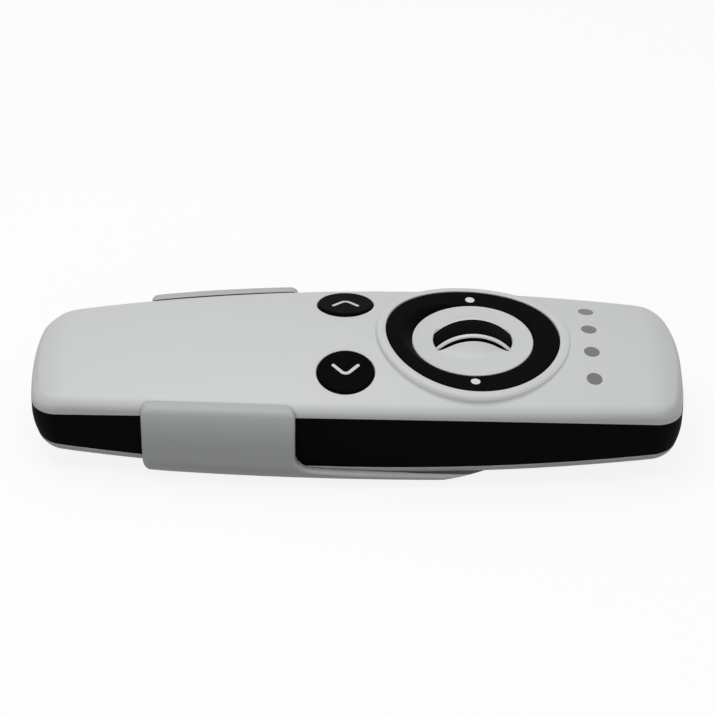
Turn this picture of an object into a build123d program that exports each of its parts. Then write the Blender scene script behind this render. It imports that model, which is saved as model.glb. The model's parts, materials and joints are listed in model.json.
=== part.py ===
from build123d import *
import os
from functools import lru_cache
from math import asin, atan2, cos, degrees, hypot, radians, sin, tan

# A hand-held wireless remote control lying in its wall holder. Millimetres.
# +X runs to the head with the indicator windows, +Z up out of the controls,
# and z = 0 is the flat back of the holder.

# Handset plan, at the level where white meets black
body_length = 155.0
waist_x = 12.0
waist_half = 24.9
side_r = 610.0
end_r = 85.0
corner_r = 7.8
side_draft = 5.7
draft_rise = 10.0

# Handset crown: a long arc swept by a cross arc, with a tighter arc at each end
crown_x = 7.7
crown_z = 27.1
crown_long_r = 725.0
crown_cross_r = 70.0
nose_r = 20.0
nose_length = 10.0
nose_arc = 50.0
nose_depth = 17.0
crown_depth = 37.0
top_round = 3.0

# Lines where the three mouldings part, and the underside
parting_x = 2.6
parting_z = 20.05
parting_r = 720.0
belly_x = -5.2
belly_z = 2.5
belly_r = 1065.0
belly_round = 2.6
grey_height = 2.6

# Shells
wall = 2.0
lip_wall = 0.9
lip_height = 1.2
seam_gap = 0.05
slide_gap = 0.2
cut_reach = 15.1

# Round control
dial_x = 27.0
plate_z = 25.3
plate_r = 14.3
ring_r = 20.7
ring_height = 2.7
ring_lip = 0.9
ring_lip_height = 0.45
ring_bevel = 3.0
ring_round = 0.3
tilt_room = 0.6
plate_height = 1.7
saddle_x = 32.7
saddle_z = 25.15
saddle_r = 107.0
collar_r = 22.9
collar_round = 1.0
collar_toe = 0.7
well_depth = 3.5
well_floor = 1.2
dot_r = 1.1
dot_depth = 0.6
dot_y = 16.83
pivot_r = 0.8
pivot_gap = 0.08
pivot_rise = 1.0
pivot_length = 1.1
pivot_root = 0.6
peg_r = 1.6
peg_y = 9.5

# Thumb wheel
wheel_z = 17.5
wheel_r = 11.7
tyre_half = 3.3
tyre_depth = 2.5
flange_r = 11.5
flange_width = 0.8
wheel_gap = 0.3
wheel_room = 0.3
axle_r = 1.0
axle_gap = 0.05
axle_overhang = 0.8
hub_web = 0.9
hub_boss_r = 3.0
tyre_round = 0.3
encoder_size = (9.0, 3.4, 8.4)
encoder_drop = 1.5
slot_r = 9.35
cowl_r = 10.7
cowl_width = 2.7
cradle_wall = 1.4
cradle_gap = 0.8
cradle_length = 26.5
cradle_boss_r = 2.8
cradle_foot = 3.0
cradle_tie = 1.2
cradle_window = (17.25, 5.0, 60.0)
pad_margin = 1.0

# Push buttons
button_x = -3.0
button_y = 13.91
button_r = 6.82
button_rise = 0.45
button_round = 0.5
button_flange = 0.9
button_lip = 1.0
button_travel = 0.8
button_hole_depth = 12.0
mark_size = (6.6, 3.7)
mark_stroke = 1.1
mark_depth = 0.3
stem_r = 1.6

# Indicator windows
window_x = 54.8
window_pitch = 9.2
window_count = 4
window_r = 1.8
window_flange = 0.7
flange_seat = 0.15
window_foot = 19.6
led_size = (1.6, 3.2, 0.8)

# Circuit board
board_z = 17.4
board_thick = 1.2
board_start = -11.3
board_gap = 1.2
board_hole_gap = 0.6
switch_size = 6.0
switch_height = 1.1
actuator_r = 1.4
actuator_height = 0.5
chip_x = 5.0
chip_size = (9.0, 9.0, 1.2)
radio_inset = 13.9
radio_size = (13.0, 16.0, 0.8)
radio_can = (10.0, 14.0, 1.8)

# Batteries and their bay
cell_r = 5.25
cell_length = 43.7
cell_nub_r = 1.9
cell_nub = 0.8
cell_round = 0.5
cell_z = 12.2
cell_gap = 0.35
bay_start = -64.0
spring_length = 3.6
leaf_thick = 0.3
leaf_width = 5.0
contact_thick = 0.4
bay_wall = 1.4

# Battery door
door_half = 13.3
door_end = -12.4
door_thick = 1.8
tongue_reach = 0.8
tongue_z = 5.7
tongue_thick = 0.8
tongue_wall = 1.5
grip_length = 12.0
grip_count = 5
grip_pitch = 2.2
grip_start = 6.0
grip_r = 0.9
grip_depth = 0.6
rail_wall = 2.0

# Case screws and posts
screw_r = 1.1
screw_head_r = 2.0
screw_head = 1.4
screw_bite = 2.6
screw_cover = 0.6
post_r = 2.6
screw_spots = ((8.5, 18.0), (8.5, -18.0), (62.0, 15.0), (62.0, -15.0))

# Wall holder
holder_gap = 0.3
holder_wall = 2.2
plate_thick = 2.2
arm_start = -50.6
arm_end = -14.5
arm_tip_z = 22.8
arm_tip_x = -15.0
arm_tip_r = 600.0
arm_corner_r = 2.0
arm_edge_r = 0.8
arm_root_r = 4.5
arm_foot_r = 7.0
tray_x = 8.0
tray_long = 38.0
tray_half = 27.5
rim_z = 5.0
rim_low_z = 2.8
rim_fall_z = 2.2
hole_spacing = 45.0
hole_x = -7.5
hole_r = 2.1
hole_head_r = 3.6

# What follows from the sizes above
ring_z = plate_z - ring_height
well_z = plate_z - well_depth
well_r = ring_r + slide_gap
pivot_z = ring_z + pivot_rise
board_top = board_z + board_thick
grey_z = belly_z + grey_height
cut_half = waist_half + cut_reach
wheel_half = tyre_half + flange_width
slot_half = wheel_half + wheel_gap
cradle_inner = wheel_half + cradle_gap
cradle_outer = cradle_inner + cradle_wall
encoder_y = cradle_outer + slide_gap
pad_reach = dial_x + cradle_length / 2 + pad_margin
pad_z = belly_z + wall + 0.1 + (pad_reach - belly_x) ** 2 / (2 * belly_r)
cell_y = cell_r + cell_gap / 2
bay_end = bay_start + 2 * contact_thick + cell_length + cell_nub + spring_length
tilt_rise = stem_r * button_y / crown_cross_r
switch_top = board_top + switch_height + actuator_height


def outline(grow):
    """Plan outline at the waist level, moved outward by grow: two long arcs, two end arcs, round corners."""
    centre = side_r - waist_half
    end = body_length / 2 - end_r
    sides = (Pos(waist_x, centre) * Circle(side_r + grow)) & (Pos(waist_x, -centre) * Circle(side_r + grow))
    ends = (Pos(end, 0) * Circle(end_r + grow)) & (Pos(-end, 0) * Circle(end_r + grow))
    shape = sides & ends
    return fillet(shape.vertices(), corner_r + grow)


def flank(grow):
    """Block with the plan outline, narrowing downward by the side draft."""
    top = parting_z + draft_rise
    face = Pos(0, 0, top) * outline(grow + draft_rise * tan(radians(side_draft)))
    return extrude(face, amount=cut_half, dir=(0, 0, -1), taper=side_draft)


def barrel(x, z, r):
    """Solid cylinder lying along Y, as wide as any cut needs."""
    return Pos(x, 0, z) * Rot(90, 0, 0) * Cylinder(r, 2 * cut_half)


def crown_patch(x, z, r, depth, start, stop, grow):
    """The cross curve, a shallow parabola, swung about a Y axis at (x, z) from one angle to another."""
    top = r + grow
    sag = cut_half ** 2 / (2 * (crown_cross_r + grow))
    arch = Bezier((-cut_half, top - sag), (0, top + sag), (cut_half, top - sag))
    low = top - depth
    sides = Polyline((cut_half, top - sag), (cut_half, low), (-cut_half, low), (-cut_half, top - sag))
    placed = Pos(x, 0, z) * Rot(0, start, 0) * (Plane.YZ * make_face(arch + sides))
    return revolve(placed, Axis((x, 0, z), (0, 1, 0)), revolution_arc=stop - start)


def crown(grow):
    """Everything under the crown: the long patch, a tighter patch at each end and a block beneath."""
    reach = body_length / 2 - nose_length
    core_z = crown_z - crown_long_r
    tail = -degrees(asin((reach + crown_x) / crown_long_r))
    head = degrees(asin((reach - crown_x) / crown_long_r))
    shape = crown_patch(crown_x, core_z, crown_long_r, crown_depth, tail, head, grow)
    for meet, start, stop in ((tail, tail - nose_arc, tail), (head, head, head + nose_arc)):
        x = crown_x + (crown_long_r - nose_r) * sin(radians(meet))
        z = core_z + (crown_long_r - nose_r) * cos(radians(meet))
        shape += crown_patch(x, z, nose_r, nose_depth, start, stop, grow)
    return shape + Box(2 * body_length, 2 * cut_half, crown_z)


def rim_edges(solid, up):
    """The loop of edges round the upper (up = 1) or lower (up = -1) faces."""
    caps = [face for face in solid.faces() if face.normal_at().Z * up > 0.5]
    edges = [edge for cap in caps for edge in cap.edges()]
    return [edge for edge in edges if sum(edge.is_same(other) for other in edges) == 1]


@lru_cache(maxsize=None)
def core(grow):
    """The handset envelope with sharp edges, moved outward by grow."""
    return flank(grow) & crown(grow) & barrel(belly_x, belly_z + belly_r, belly_r + grow)


@lru_cache(maxsize=None)
def hull(grow):
    """The handset envelope with its rounded edges, moved outward by grow."""
    block = fillet(rim_edges(core(grow), 1), top_round + grow)
    return fillet(rim_edges(block, -1), belly_round + grow)


@lru_cache(maxsize=None)
def under_parting(drop):
    """Everything under the line where white meets black, lowered by drop."""
    return barrel(parting_x, parting_z - parting_r, parting_r - drop)


@lru_cache(maxsize=None)
def over_grey(rise):
    """Everything above the line where black meets grey, raised by rise."""
    return barrel(belly_x, belly_z + belly_r, belly_r - grey_height - rise)


@lru_cache(maxsize=None)
def over_saddle():
    """Everything above the dished top of the round control."""
    return barrel(saddle_x, saddle_z + saddle_r, saddle_r)


def disc(r, low, high, x=dial_x, y=0.0):
    """Upright cylinder between two levels."""
    return Pos(x, y, (low + high) / 2) * Cylinder(r, high - low)


def block_between(x, y, z):
    """Box between a low and a high value on each axis."""
    size = [high - low for low, high in (x, y, z)]
    middle = [(high + low) / 2 for low, high in (x, y, z)]
    return Pos(*middle) * Box(*size)


def surface_z(x, y):
    """Height of the crown over a point away from the ends."""
    return crown_z - (x - crown_x) ** 2 / (2 * crown_long_r) - y ** 2 / (2 * crown_cross_r)


def button_frame(side):
    """Place on the crown under one push button, with local Z along the surface normal."""
    tilt = -side * degrees(asin(button_y / crown_cross_r))
    return Pos(button_x, side * button_y, surface_z(button_x, button_y)) * Rot(tilt, 0, 0)


def window_spots():
    """Y places of the indicator windows."""
    first = -window_pitch * (window_count - 1) / 2
    return [first + window_pitch * index for index in range(window_count)]


def wheel_disc(r, low, high):
    """Cylinder about the thumb wheel's axis between two Y levels."""
    return Pos(dial_x, (low + high) / 2, wheel_z) * Rot(90, 0, 0) * Cylinder(r, high - low)


def wheel_space():
    """Clear space round the tyre and the flanges of the thumb wheel."""
    tyre_side = tyre_half + wheel_gap
    tyre_room = wheel_disc(wheel_r + wheel_room, -tyre_side, tyre_side)
    return tyre_room + wheel_disc(flange_r + wheel_room, -slot_half, slot_half)


def lip_ring(grow_gap, zone):
    """Inner half of the wall, used for a tongue and for the groove that takes it."""
    return (core(-lip_wall_start(grow_gap)) - core(-wall)) & zone


def lip_wall_start(gap):
    """Inset of a tongue's outer face, or of its groove when a gap is given."""
    return wall - lip_wall - gap


def make_top_shell():
    """White upper moulding with the raised collar, the well, the holes and the screw bosses."""
    top = 2 * crown_z
    bosses = [disc(post_r, board_top, top, x, y) for x, y in screw_spots]
    void = core(-wall) - disc(collar_r, well_z - well_floor, top)
    below = under_parting(0)
    for boss in bosses:
        void -= boss
        below -= boss
    collar = disc(collar_r, well_z, plate_z + 10) - over_saddle()
    shell = hull(0) + fillet(rim_edges(collar, 1), collar_round)
    shell = fillet([edge for edge in shell.edges() if on_collar_foot(edge)], collar_toe)
    shell -= void
    shell -= below
    shell -= lip_ring(seam_gap, barrel(parting_x, parting_z - parting_r, parting_r + lip_height + seam_gap))
    shell -= disc(well_r, well_z, top)
    floor_low = well_z - 2 * well_floor
    half = wheel_r + wheel_room
    shell -= block_between((dial_x - half, dial_x + half), (-slot_half, slot_half), (floor_low, well_z + 1))
    for side in (-1, 1):
        shell -= disc(stem_r + 2 * slide_gap, floor_low, well_z + 1, y=side * dot_y)
        shell -= disc(peg_r, floor_low, well_z + 1, y=side * peg_y)
        shell -= button_frame(side) * Cylinder(button_r + slide_gap, button_hole_depth)
        recess = Pos(dial_x + side * (well_r + pivot_length / 2 - 0.1), 0, pivot_z) * Rot(0, 90, 0)
        shell -= recess * Cylinder(pivot_r + pivot_gap, pivot_length + 0.2)
    for y in window_spots():
        shell -= disc(window_r + seam_gap, board_top, top, window_x, y)
    for x, y in screw_spots:
        shell -= disc(screw_r, board_top - 1, surface_z(x, y) - wall, x, y)
    return shell


def on_collar_foot(edge):
    """True for an edge where the collar's wall stands on the handset envelope."""
    middle = edge.position_at(0.5)
    beside = abs(hypot(middle.X - dial_x, middle.Y) - collar_r) < 0.01
    return beside and hull(0).distance_to(middle) < 0.01


def make_mid_band():
    """Black frame between the two shells, grooved inside for both their tongues."""
    band = (hull(0) - core(-wall)) & under_parting(0) & over_grey(0)
    band += lip_ring(0, barrel(parting_x, parting_z - parting_r, parting_r + lip_height) - under_parting(0.5))
    return band - lip_ring(seam_gap, over_grey(-1) - over_grey(lip_height + seam_gap))


def make_rear_shell():
    """Grey back with the battery bay, the door's channel, the posts and the wheel's pad."""
    inner = core(-wall)
    shell = hull(0) - over_grey(0) - inner
    shell += lip_ring(0, over_grey(-0.5) - over_grey(lip_height))
    rail_y = door_half + rail_wall
    shelf_z = tongue_z + tongue_thick + slide_gap
    top_z = cell_z + cell_r + cell_gap + bay_wall
    head_wall = bay_end + bay_wall
    rails = block_between((-body_length / 2, head_wall), (-rail_y, rail_y), (belly_z, shelf_z + bay_wall))
    cell_room = 2 * cell_r + cell_gap
    case = block_between((bay_start - bay_wall, head_wall),
                         (-cell_room - bay_wall, cell_room + bay_wall), (shelf_z, top_z))
    shell += (rails + case) & core(-wall)
    for side in (-1, 1):
        bore = Pos((bay_start + bay_end) / 2, side * cell_y, cell_z) * Rot(0, 90, 0)
        shell -= bore * Cylinder(cell_r + cell_gap, bay_end - bay_start)
    shell -= block_between((bay_start, bay_end), (-cell_room, cell_room), (0, cell_z))
    door_y = door_half + slide_gap
    shell -= block_between((-body_length, door_end + slide_gap), (-door_y, door_y), (0, shelf_z))
    groove_y = door_y + tongue_reach
    shell -= block_between((-body_length, door_end + slide_gap), (-groove_y, groove_y),
                           (tongue_z - slide_gap, shelf_z))
    tail_cut = block_between((-body_length, bay_start - bay_wall), (-door_y, door_y), (0, board_z))
    shell -= tail_cut - core(-wall)
    for x, y in screw_spots:
        post = disc(post_r, belly_z + 1, board_z, x, y)
        shell += post & core(-wall / 2)
        shell -= disc(screw_r + seam_gap, 0, board_z + 1, x, y)
        shell -= disc(screw_head_r + seam_gap, 0, screw_seat(x), x, y)
    pad_side = cradle_outer + pad_margin
    pad = block_between((2 * dial_x - pad_reach, pad_reach), (-pad_side, pad_side), (belly_z + 1, pad_z))
    return shell + pad - wheel_disc(wheel_r + wheel_room, -slot_half, slot_half)


def screw_seat(x):
    """Level of the shoulder that a case screw's head sits on."""
    return belly_z + (x - belly_x) ** 2 / (2 * belly_r) + screw_head + screw_cover


def make_battery_door():
    """Sliding door: the part of the back under the batteries, with a tongue along each side."""
    zone = block_between((-body_length, door_end), (-door_half, door_half), (0, board_z))
    door = (hull(0) - over_grey(0) - core(-door_thick)) & zone
    shelf = (bay_start - 2, door_end - 1)
    for side in (-1, 1):
        inner, outer = sorted((side * (door_half - tongue_wall), side * door_half))
        rib = block_between(shelf, (inner, outer), (belly_z + 1, tongue_z + tongue_thick))
        door += rib & core(-slide_gap)
        tip = side * (door_half + tongue_reach)
        low, high = sorted((side * (door_half - tongue_wall), tip))
        door += block_between(shelf, (low, high), (tongue_z, tongue_z + tongue_thick))
    for index in range(grip_count):
        x = door_end - grip_start - grip_pitch * index
        door -= Pos(x, 0, belly_z + grip_depth - grip_r) * Rot(90, 0, 0) * Cylinder(grip_r, grip_length)
    return door


def make_battery():
    """Small round cell with its raised contact, lying along X with the contact at the high end."""
    can = Rot(0, 90, 0) * Cylinder(cell_r, cell_length)
    can = fillet(can.edges(), cell_round)
    nub = Pos(cell_length / 2 + cell_nub / 2, 0, 0) * Rot(0, 90, 0) * Cylinder(cell_nub_r, cell_nub)
    return can + nub


def cell_place(side):
    """Place of one cell: the two lie opposite ways round."""
    if side > 0:
        x = bay_start + contact_thick + spring_length + cell_length / 2
        return Pos(x, cell_y, cell_z)
    x = bay_start + contact_thick + cell_nub + cell_length / 2
    return Pos(x, -cell_y, cell_z) * Rot(0, 0, 180)


def make_leaf(side):
    """Half-round leaf spring between a cell's flat end and its strip."""
    bow = Circle(spring_length) - Circle(spring_length - leaf_thick)
    bow &= Pos(spring_length, 0) * Rectangle(2 * spring_length, 2 * spring_length)
    leaf = Rot(90, 0, 0) * extrude(bow, amount=leaf_width / 2, both=True)
    if side > 0:
        return Pos(bay_start + contact_thick, cell_y, cell_z) * leaf
    return Pos(bay_end - contact_thick, -cell_y, cell_z) * Rot(0, 0, 180) * leaf


def contact_face(y):
    """Round contact plate standing across the bay behind one cell."""
    return Pos(y, cell_z) * Circle(cell_r - 2 * contact_thick)


def make_tail_contact():
    """Plated strip that joins both cells at the tail end."""
    bridge = Pos(0, cell_z - cell_r / 2) * Rectangle(2 * cell_y, cell_r / 2)
    face = contact_face(-cell_y) + contact_face(cell_y) + bridge
    return Pos(bay_start, 0, 0) * (Plane.YZ * extrude(face, amount=contact_thick))


def make_head_contact(side):
    """Plated strip behind one cell at the head end."""
    face = contact_face(side * cell_y)
    return Pos(bay_end - contact_thick, 0, 0) * (Plane.YZ * extrude(face, amount=contact_thick))


def make_button(side):
    """Domed push button with its retaining flange and stem, square to the crown."""
    flange_depth = wall + flange_seat + (button_r + button_lip) ** 2 / (2 * crown_cross_r) + 0.1
    body = Pos(0, 0, (button_rise - flange_depth) / 2) * Cylinder(button_r, button_rise + flange_depth)
    body = fillet(body.edges().group_by(Axis.Z)[-1], button_round)
    flange = Pos(0, 0, -flange_depth - button_flange / 2) * Cylinder(button_r + button_lip, button_flange)
    stem = Pos(0, 0, -(wall + stem_end()) / 2) * Cylinder(stem_r, stem_end() - wall)
    return button_frame(side) * (body + flange + stem) - make_button_mark(side)


def make_button_mark(side):
    """Light arrow let into a button, pointing away from the middle: two rounded strokes that meet."""
    half = (mark_size[0] - mark_stroke) / 2
    rise = mark_size[1] - mark_stroke
    slot = SlotCenterToCenter(hypot(half, rise), mark_stroke, rotation=-degrees(atan2(rise, half)))
    stroke = Pos(half / 2, 0) * slot
    mark = extrude(stroke + mirror(stroke, Plane.YZ), amount=mark_depth)
    return button_frame(side) * Pos(0, 0, button_rise - mark_depth) * Rot(0, 0, 90 - side * 90) * mark


def stem_end():
    """Depth of a button stem's tip below the crown, just short of its switch at the end of its travel."""
    stop = switch_top + button_travel + tilt_rise
    return (surface_z(button_x, button_y) - stop) / cos(asin(button_y / crown_cross_r))


def make_dial_ring():
    """Black rocking ring: dished top, inner lip held down by the centre plate, two stems, two pivots."""
    ring = disc(ring_r, ring_z, plate_z + 10) - over_saddle()
    ring = fillet(rim_edges(ring, 1), ring_round)
    bore_r = plate_r + slide_gap
    ring -= disc(bore_r, 0, 2 * plate_z)
    ring -= Pos(dial_x, 0, plate_z + ring_bevel / 2) * Cone(bore_r, bore_r + ring_bevel, ring_bevel)
    ring += disc(plate_r + 1, ring_z, ring_z + ring_lip_height) - disc(plate_r - ring_lip, 0, 2 * plate_z)
    for side in (-1, 1):
        ring += disc(stem_r, switch_top + tilt_room, ring_z + ring_lip_height, y=side * dot_y)
        ring -= disc(dot_r, plate_z - dot_depth, 2 * plate_z, y=side * dot_y)
        pin_x = ring_r + (pivot_length - pivot_root) / 2
        pin = Pos(dial_x + side * pin_x, 0, pivot_z) * Rot(0, 90, 0)
        ring += pin * Cylinder(pivot_r, pivot_length + pivot_root)
    return ring


def make_ring_dot(side):
    """Light dot let into the ring."""
    return disc(dot_r, plate_z - dot_depth, 2 * plate_z, y=side * dot_y) - over_saddle()


def make_dial_centre():
    """White centre plate over the ring's lip, with the wheel's slot between two rounded cowls."""
    foot_r = plate_r - ring_lip - 2 * slide_gap
    plate = disc(plate_r, plate_z - plate_height, plate_z) + disc(foot_r, well_z, plate_z)
    slot = Circle(slot_r) & Rectangle(2 * slot_r, 2 * slot_half)
    plate -= Pos(dial_x, 0, well_z - 1) * extrude(slot, amount=2 * wheel_r)
    plate -= wheel_space()
    above = block_between((0, 2 * dial_x), (-cut_half, cut_half), (plate_z - plate_height / 2, 2 * plate_z))
    for side in (-1, 1):
        place = Pos(dial_x, side * (slot_half + cowl_width / 2), wheel_z) * Rot(side * -90, 0, 0)
        plate += (place * Cone(cowl_r, plate_z - wheel_z, cowl_width)) & above
        plate += disc(peg_r - seam_gap, well_z - well_floor, well_z + 0.5, y=side * peg_y)
    return plate


def make_wheel_hub():
    """White hub with a flange on each side of the tyre and lightened faces."""
    hub = wheel_disc(flange_r, -wheel_half, wheel_half)
    groove = wheel_disc(flange_r + 1, -tyre_half, tyre_half)
    hub -= groove - wheel_disc(wheel_r - tyre_depth, -tyre_half, tyre_half)
    for low, high in ((-wheel_half, -hub_web), (hub_web, wheel_half)):
        hub -= wheel_disc(wheel_r - tyre_depth - hub_web, low, high) - wheel_disc(hub_boss_r, low, high)
    return hub - wheel_disc(axle_r, -wheel_half, wheel_half)


def make_wheel_tyre():
    """Rubber tyre between the hub's flanges, with softened edges."""
    tyre = wheel_disc(wheel_r, -tyre_half, tyre_half)
    tyre = fillet(tyre.edges().filter_by(GeomType.CIRCLE), tyre_round)
    return tyre - wheel_disc(wheel_r - tyre_depth, -tyre_half, tyre_half)


def make_wheel_axle():
    """Steel pin through the hub, the two bearings and the encoder."""
    return wheel_disc(axle_r, -cradle_outer - axle_overhang, encoder_y + encoder_size[1])


def make_wheel_cradle():
    """Bracket of two bearing plates joined by ties at both ends, standing on the back."""
    half = cradle_length / 2
    foot_top = pad_z + cradle_foot
    side_view = Polygon((-half, pad_z), (half, pad_z), (half, foot_top), (cradle_boss_r, wheel_z),
                        (-cradle_boss_r, wheel_z), (-half, foot_top), align=None)
    side_view += Pos(0, wheel_z) * Circle(cradle_boss_r)
    side_view -= Pos(0, wheel_z) * Circle(axle_r + axle_gap)
    side_view -= Pos(0, (foot_top + wheel_z) / 2 - cradle_foot) * Trapezoid(*cradle_window)
    plate = Plane.XZ * side_view
    bracket = None
    for start in (-cradle_outer, cradle_inner):
        wall_plate = Pos(dial_x, start + cradle_wall, 0) * extrude(plate, amount=cradle_wall)
        bracket = wall_plate if bracket is None else bracket + wall_plate
    for side in (-1, 1):
        low, high = sorted((dial_x + side * half, dial_x + side * (half - cradle_tie)))
        bracket += block_between((low, high), (-cradle_outer, cradle_outer), (pad_z, foot_top))
    return bracket


def make_wheel_encoder():
    """Turn sensor on the end of the wheel's pin."""
    wide, deep, tall = encoder_size
    body = Pos(dial_x, encoder_y + deep / 2, wheel_z - encoder_drop) * Box(wide, deep, tall)
    body = chamfer(body.edges().filter_by(Axis.Y), 1.0)
    return body - wheel_disc(axle_r + axle_gap, encoder_y, encoder_y + deep)


def make_window(y):
    """Clear light pipe flush with the crown, with a flange under the shell."""
    pipe = disc(window_r, window_foot, crown_z + 1, window_x, y) & hull(0)
    top = surface_z(window_x, abs(y) + window_r + window_flange) - wall - flange_seat
    return pipe + disc(window_r + window_flange, top - window_flange, top, window_x, y)


def make_led(y):
    """Small lamp on the board under a window."""
    return Pos(window_x, y, board_top + led_size[2] / 2) * Box(*led_size)


def make_board():
    """Circuit board cut to the case, with the wheel's opening and the screw holes."""
    board = Pos(0, 0, board_z) * extrude(outline(-wall - board_gap), amount=board_thick)
    board &= block_between((board_start, body_length), (-cut_half, cut_half), (0, 2 * board_z))
    half = cradle_length / 2 + board_hole_gap
    low = -cradle_outer - axle_overhang - board_hole_gap
    high = encoder_y + encoder_size[1] + board_hole_gap
    board -= block_between((dial_x - half, dial_x + half), (low, high), (0, 2 * board_z))
    for x, y in screw_spots:
        board -= disc(screw_r + 2 * seam_gap, 0, 2 * board_z, x, y)
    return board


def make_switch(x, y):
    """Square key switch with a round actuator."""
    body = Pos(x, y, board_top + switch_height / 2) * Box(switch_size, switch_size, switch_height)
    return body + disc(actuator_r, board_top + switch_height, switch_top, x, y)


def make_radio():
    """Radio module under the board's head end: a small board with a metal can."""
    place = Pos(body_length / 2 - radio_inset, 0, board_z)
    module = place * Box(*radio_size, align=(Align.CENTER, Align.CENTER, Align.MAX))
    can = place * Pos(0, 0, -radio_size[2]) * Box(*radio_can, align=(Align.CENTER, Align.CENTER, Align.MAX))
    return module + can


def make_chip():
    """Controller chip under the board."""
    return Pos(chip_x, 0, board_z) * Box(*chip_size, align=(Align.CENTER, Align.CENTER, Align.MAX))


def make_screw(x, y):
    """Pan head screw from the back into the boss of the upper shell."""
    seat = screw_seat(x)
    shank = disc(screw_r - seam_gap, seat, board_top + screw_bite, x, y)
    return shank + disc(screw_head_r, seat - screw_head, seat, x, y)


def holder_side_view():
    """Side view of the holder: the arm's block with its round corners, then the rim falling to the plate."""
    arm = Rectangle(arm_end - arm_start, arm_tip_z, align=(Align.MIN, Align.MIN))
    arm = Pos(arm_start, 0) * arm
    arm &= Pos(arm_tip_x, arm_tip_z - arm_tip_r) * Circle(arm_tip_r)
    arm = fillet(arm.vertices().group_by(Axis.Y)[-1] + arm.vertices().group_by(Axis.Y)[-2], arm_corner_r)
    far = tray_x + tray_long
    rim = Polygon((arm_start + 1, 0), (far + 1, 0), (far + 1, rim_fall_z), (dial_x, rim_low_z),
                  (arm_end, rim_z), (arm_start + 1, rim_z), align=None)
    view = arm + rim
    front = [corner for corner in view.vertices() if abs(corner.X - arm_end) < 0.01]
    return fillet([corner for corner in front if corner.Y < arm_tip_z / 2], arm_root_r)


def make_wall_holder():
    """Grey holder: a plate with a low rim, two arms that curl over the handset, and two screw holes."""
    grow = holder_gap + holder_wall
    far = tray_x + tray_long
    block = flank(grow) & block_between((arm_start, far), (-cut_half, cut_half), (0, 2 * crown_z))
    core_z = crown_z - crown_long_r
    block &= crown_patch(crown_x, core_z, crown_long_r, 2 * crown_z, -10, 10, grow)
    shoulders = [edge for edge in rim_edges(block, 1) if edge.length > (far - arm_start) * 0.9]
    block = fillet(shoulders, top_round + grow)
    plan = Pos((arm_start + tray_x) / 2, 0) * Rectangle(tray_x - arm_start, 2 * cut_half)
    plan += Pos(tray_x, 0) * Ellipse(tray_long, tray_half)
    block &= extrude(plan, amount=2 * crown_z)
    block = fillet([edge for edge in rim_edges(block, -1) if edge.center().X > arm_start + 1], arm_foot_r)
    block &= Plane.XZ * extrude(holder_side_view(), amount=cut_half, both=True)
    block = fillet([edge for edge in block.edges() if on_arm_front(edge)], arm_edge_r)
    cavity = hull(holder_gap) + slide_path()
    above = block_between((-body_length, body_length), (-cut_half, cut_half), (plate_thick, 2 * crown_z))
    block -= cavity & above
    door_y = door_half + tongue_reach
    block -= block_between((arm_start - 1, door_end), (-door_y, door_y), (plate_thick, grey_z))
    for side in (-1, 1):
        x = hole_x + side * hole_spacing / 2
        block -= disc(hole_r, -1, plate_thick + 1, x)
        sink = hole_head_r - hole_r
        block -= Pos(x, 0, plate_thick - sink / 2) * Cone(hole_r, hole_head_r, sink)
    return block


def on_arm_front(edge):
    """True for an outer edge at the front of an arm. Its rounding runs on round the arm and the rim."""
    box = edge.bounding_box()
    one_side = box.min.Y * box.max.Y > 0
    return one_side and box.min.X > arm_end - 0.01 and box.max.X < arm_end + 0.01


def slide_path():
    """Room that the handset sweeps as it slides out over the tray."""
    height = grey_z + 2 * grey_height
    half = waist_half - (parting_z - grey_z) * tan(radians(side_draft)) + holder_gap
    tunnel = block_between((waist_x, body_length), (-half, half), (plate_thick, height))
    low = [edge for edge in tunnel.edges().filter_by(Axis.X) if edge.center().Z < grey_z]
    return fillet(low, belly_round)


def parts():
    """Every sub-part by name."""
    made = {
        "top_shell": make_top_shell(),
        "mid_band": make_mid_band(),
        "rear_shell": make_rear_shell(),
        "battery_door": make_battery_door(),
        "previous_button": make_button(-1),
        "next_button": make_button(1),
        "previous_mark": make_button_mark(-1),
        "next_mark": make_button_mark(1),
        "dial_ring": make_dial_ring(),
        "dial_centre": make_dial_centre(),
        "wheel_hub": make_wheel_hub(),
        "wheel_tyre": make_wheel_tyre(),
        "wheel_axle": make_wheel_axle(),
        "wheel_cradle": make_wheel_cradle(),
        "wheel_encoder": make_wheel_encoder(),
        "circuit_board": make_board(),
        "radio_module": make_radio(),
        "controller_chip": make_chip(),
        "contact_tail": make_tail_contact(),
        "wall_holder": make_wall_holder(),
    }
    for number, side in ((1, -1), (2, 1)):
        made[f"ring_dot_{number}"] = make_ring_dot(side)
        made[f"ring_switch_{number}"] = make_switch(dial_x, side * dot_y)
        made[f"button_switch_{number}"] = make_switch(button_x, side * button_y)
        made[f"battery_{number}"] = cell_place(side) * make_battery()
        made[f"battery_spring_{number}"] = make_leaf(side)
        made[f"contact_head_{number}"] = make_head_contact(side)
    for number, y in enumerate(window_spots(), 1):
        made[f"indicator_window_{number}"] = make_window(y)
        made[f"indicator_led_{number}"] = make_led(y)
    for number, (x, y) in enumerate(screw_spots, 1):
        made[f"case_screw_{number}"] = make_screw(x, y)
    return made


if __name__ == "__main__":
    os.makedirs("parts", exist_ok=True)
    for name, shape in parts().items():
        export_step(shape, f"parts/{name}.step")
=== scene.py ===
import json
import math

import bmesh
import bpy
import numpy as np
from mathutils import Matrix, Vector
from mathutils.geometry import delaunay_2d_cdt


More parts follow.
